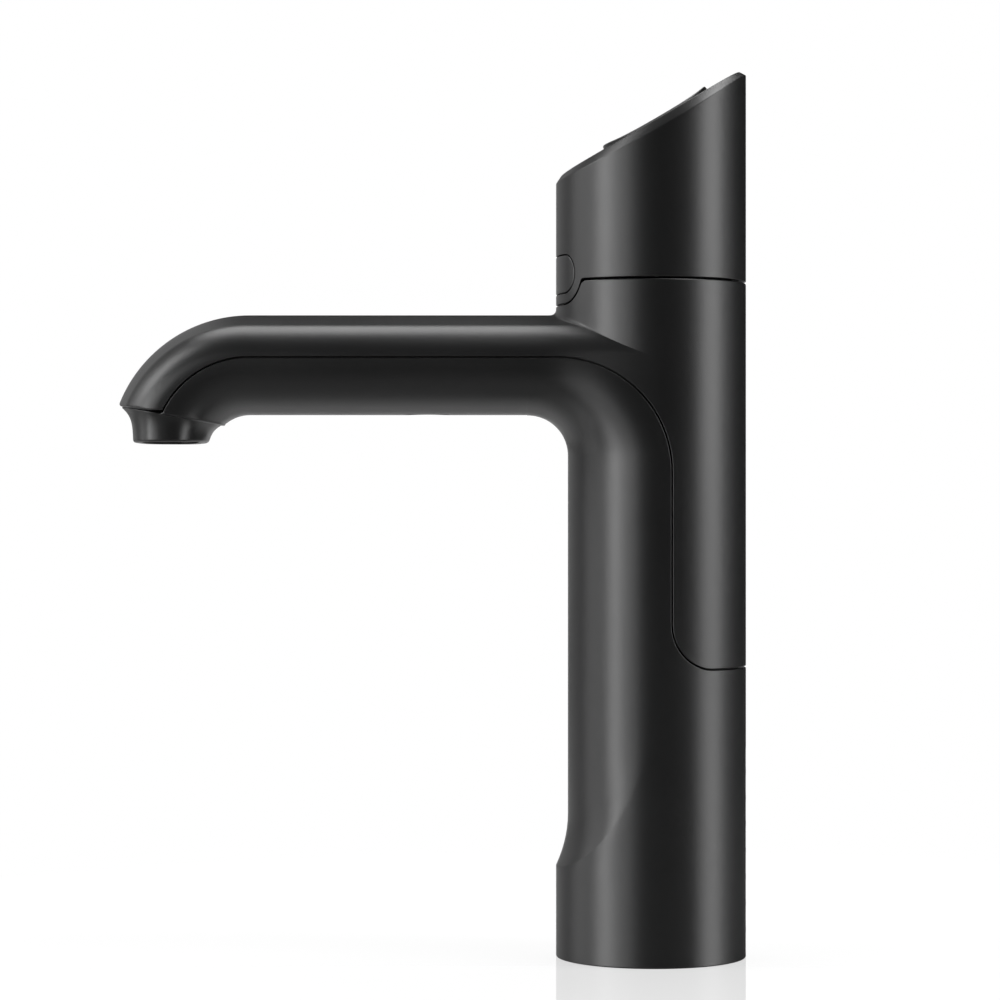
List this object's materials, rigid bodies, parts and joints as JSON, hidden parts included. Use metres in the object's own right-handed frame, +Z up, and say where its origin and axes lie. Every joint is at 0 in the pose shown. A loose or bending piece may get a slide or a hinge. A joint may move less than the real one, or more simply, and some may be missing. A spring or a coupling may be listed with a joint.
{
  "type": "boiling water tap",
  "caption": "Deck-mounted boiling water tap: round column, slanted push-button head with a lock button, and a level arm that bends down into a short wide outlet.",
  "frame": {"origin": "on the column's axis, on the underside of the base where it stands on the worktop", "axes": "+Z up the column; -Y is the way the arm and outlet point; X runs from left to right across the tap"},
  "size_m": [0.056, 0.1849, 0.2607],
  "materials": {
    "satin_black_metal": "satin",
    "satin_black_plastic": "satin",
    "gloss_black_plastic": "satin",
    "black_rubber": "matte",
    "dark_plastic": "matte",
    "brass": "satin",
    "steel": "satin",
    "circuit_board": "satin",
    "silicone_tube": "satin",
    "red_marker": "satin",
    "blue_marker": "satin"
  },
  "bodies": {
    "tap": {"main_body": "satin_black_metal", "rear_top_cover": "satin_black_plastic", "base_plate": "brass", "base_seal": "black_rubber", "base_plate_screw_1": "steel", "base_plate_screw_2": "steel", "base_plate_screw_3": "steel", "screw_plug": "satin_black_plastic", "cover_screw": "steel", "boiling_tube": "silicone_tube", "chilled_tube": "silicone_tube", "vent_tube": "silicone_tube", "nozzle_manifold": "dark_plastic", "outlet_insert": "dark_plastic", "outlet_seal": "black_rubber", "tube_clip": "dark_plastic", "column_clamp": "dark_plastic", "signal_lead": "black_rubber", "lead_socket": "dark_plastic", "control_head": "satin_black_plastic", "lock_switch": "dark_plastic", "lock_switch_board": "circuit_board", "lock_lead": "black_rubber", "head_screw_1": "steel", "head_screw_2": "steel", "face_plate": "satin_black_plastic", "keypad_bezel": "satin_black_plastic", "boiling_switch": "dark_plastic", "chilled_switch": "dark_plastic", "keypad_mat": "black_rubber", "circuit_board": "circuit_board", "board_connector": "dark_plastic", "head_carrier": "dark_plastic", "carrier_screw_1": "steel", "carrier_screw_2": "steel", "carrier_screw_3": "steel"},
    "boiling_key": {"boiling_button": "gloss_black_plastic", "boiling_marker": "red_marker"},
    "chilled_key": {"chilled_button": "gloss_black_plastic", "chilled_marker": "blue_marker"},
    "lock_key": {"lock_button": "gloss_black_plastic"}
  },
  "joints": [
    {"name": "boiling_press", "type": "slide", "parent": "tap", "child": "boiling_key", "axis": [0, 0.5033, -0.8641], "range_m": [0, 0.001], "stiffness_N_per_m": 700, "springref_m": -0.0005},
    {"name": "chilled_press", "type": "slide", "parent": "tap", "child": "chilled_key", "axis": [0, 0.5033, -0.8641], "range_m": [0, 0.001], "stiffness_N_per_m": 700, "springref_m": -0.0005},
    {"name": "lock_press", "type": "slide", "parent": "tap", "child": "lock_key", "axis": [0, 1, 0], "range_m": [0, 0.001], "stiffness_N_per_m": 700, "springref_m": -0.0005}
  ]
}
